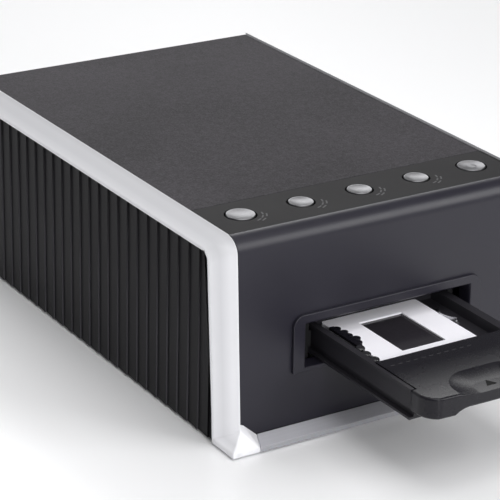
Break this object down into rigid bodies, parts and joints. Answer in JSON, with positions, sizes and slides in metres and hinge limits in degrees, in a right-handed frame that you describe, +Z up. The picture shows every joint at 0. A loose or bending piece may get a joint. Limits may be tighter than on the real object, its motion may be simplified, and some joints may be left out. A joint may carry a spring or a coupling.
{
  "type": "slide viewer",
  "caption": "Tabletop slide viewer: black box in a silver side frame, pleated sides, round push buttons on top and a front tray holding a square slide mount.",
  "frame": {"origin": "on the table, under the middle of the whole object's outline with its tray out as at rest", "axes": "+X to the right of someone facing the front, +Y from the front to the back, +Z up"},
  "size_m": [0.1666, 0.3153, 0.0937],
  "materials": {
    "silver_frame": "pearl silver paint, satin",
    "brushed_sill": "brushed lengthwise",
    "front_black": "gloss, piano black",
    "side_black": "satin moulded pleats",
    "top_leatherette": "fine black leatherette",
    "strip_grey": "satin dark grey",
    "back_black": "fine spark-eroded black",
    "foot_rubber": "matt",
    "button_metal": "turned tops, bright bevel",
    "chassis_steel": "zinc plated",
    "guide_plastic": "moulded dark grey",
    "light_box_white": "white, reflecting",
    "diffuser_opal": "opal",
    "led_white": "phosphor over white package",
    "board_green": "glass-fibre board, green resist",
    "chip_black": "moulded packages",
    "socket_black": "moulded",
    "socket_shell": "bright plated",
    "mirror_glass": "front-silvered",
    "lens_glass": "coated",
    "barrel_black": "black anodised",
    "ribbon_grey": "flat cable",
    "tray_matt": "satin black",
    "tray_gloss": "gloss black",
    "spring_chrome": "polished spring steel",
    "mount_white": "white polystyrene",
    "film_dark": "dense transparency film"
  },
  "bodies": {
    "housing": {"left_trim": "silver_frame", "right_trim": "silver_frame", "front_sill": "brushed_sill", "front_panel": "front_black", "slot_bezel": "front_black", "left_side_panel": "side_black", "right_side_panel": "side_black", "top_panel": "top_leatherette", "button_strip": "strip_grey", "back_panel": "back_black", "base_plate": "back_black", "rubber_feet": "foot_rubber", "tray_buffer": "foot_rubber", "chassis": "chassis_steel", "optics_deck": "chassis_steel", "lens_bracket": "chassis_steel", "sensor_bracket": "chassis_steel", "housing_screws": "chassis_steel", "screw_nuts": "chassis_steel", "board_screws": "chassis_steel", "left_tray_guide": "guide_plastic", "right_tray_guide": "guide_plastic", "mirror_holder": "guide_plastic", "board_spacers": "guide_plastic", "light_box": "light_box_white", "diffuser": "diffuser_opal", "leds": "led_white", "led_board": "board_green", "main_board": "board_green", "button_board": "board_green", "sensor_board": "board_green", "board_chips": "chip_black", "tact_switches": "chip_black", "image_sensor": "chip_black", "power_socket": "socket_black", "video_socket": "socket_black", "data_socket": "socket_shell", "mirror": "mirror_glass", "front_lens": "lens_glass", "rear_lens": "lens_glass", "lens_barrel": "barrel_black", "ribbon_cable": "ribbon_grey"},
    "tray": {"tray_frame": "tray_matt", "tray_handle": "tray_gloss", "tray_screws": "chassis_steel", "slide_pegs": "tray_gloss", "slide_spring": "spring_chrome", "slide_mount_lower": "mount_white", "slide_mount_upper": "mount_white", "film": "film_dark"},
    "function_button_1": {"function_button_1": "button_metal"},
    "function_button_2": {"function_button_2": "button_metal"},
    "function_button_3": {"function_button_3": "button_metal"},
    "function_button_4": {"function_button_4": "button_metal"},
    "power_button": {"power_button": "button_metal"}
  },
  "joints": [
    {"name": "tray_slide", "type": "slide", "parent": "housing", "child": "tray", "axis": [0, 1, 0], "range_m": [-0.02, 0.0615]},
    {"name": "function_button_1_press", "type": "slide", "parent": "housing", "child": "function_button_1", "axis": [0, 0, -1], "range_m": [0, 0.0008], "stiffness_N_per_m": 1500},
    {"name": "function_button_2_press", "type": "slide", "parent": "housing", "child": "function_button_2", "axis": [0, 0, -1], "range_m": [0, 0.0008], "stiffness_N_per_m": 1500},
    {"name": "function_button_3_press", "type": "slide", "parent": "housing", "child": "function_button_3", "axis": [0, 0, -1], "range_m": [0, 0.0008], "stiffness_N_per_m": 1500},
    {"name": "function_button_4_press", "type": "slide", "parent": "housing", "child": "function_button_4", "axis": [0, 0, -1], "range_m": [0, 0.0008], "stiffness_N_per_m": 1500},
    {"name": "power_button_press", "type": "slide", "parent": "housing", "child": "power_button", "axis": [0, 0, -1], "range_m": [0, 0.0008], "stiffness_N_per_m": 1500}
  ]
}
